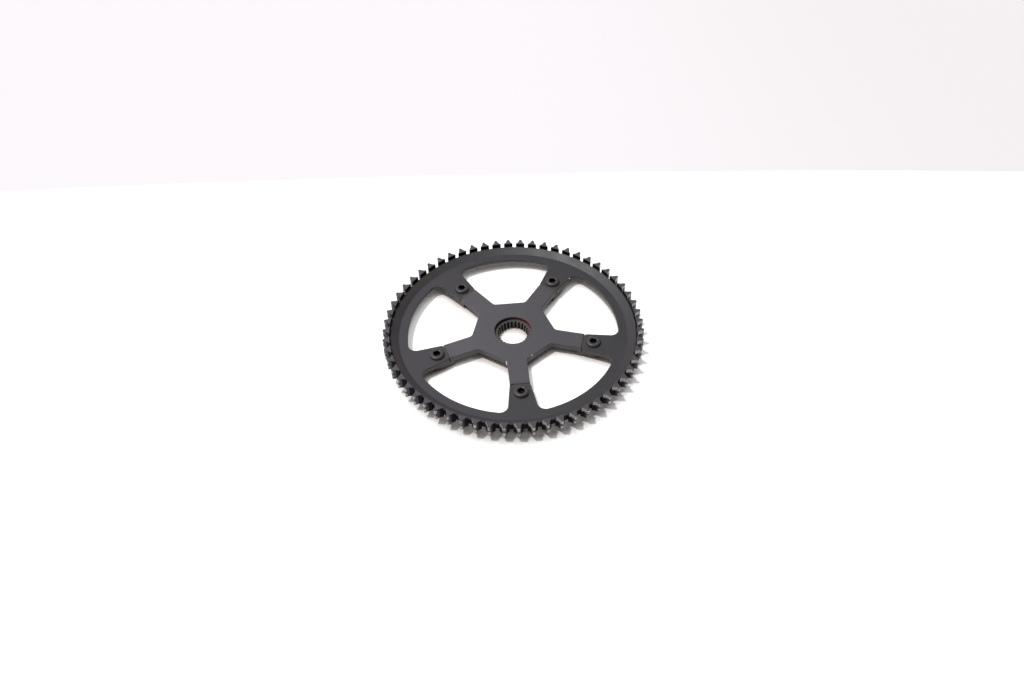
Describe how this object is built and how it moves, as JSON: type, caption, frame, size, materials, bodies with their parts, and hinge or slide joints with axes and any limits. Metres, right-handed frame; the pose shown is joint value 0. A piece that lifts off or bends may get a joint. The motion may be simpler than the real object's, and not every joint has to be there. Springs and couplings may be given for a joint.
{
  "type": "belt drive sprocket",
  "caption": "Dished toothed ring for a bicycle drive belt, bolted by short inner tabs to a flat spider with a splined, counterbored centre hole.",
  "frame": {"origin": "on the sprocket's axis at the underside of the spider's hub, the plane it lies on", "axes": "+Z along the axis towards the outer face with the bolt heads; one arm points along -Y"},
  "size_m": [0.2078, 0.2078, 0.0158],
  "materials": {
    "ring_anodised": "black anodised, worn to bare metal on the tooth flanks",
    "spider_anodised": "dark grey anodised, satin",
    "bolt_black": "black oxide, satin",
    "nut_black": "black oxide, satin"
  },
  "bodies": {
    "root": {"sprocket_ring": "ring_anodised", "spider": "spider_anodised", "chainring_bolts": "bolt_black", "sleeve_nuts": "nut_black"}
  },
  "joints": []
}
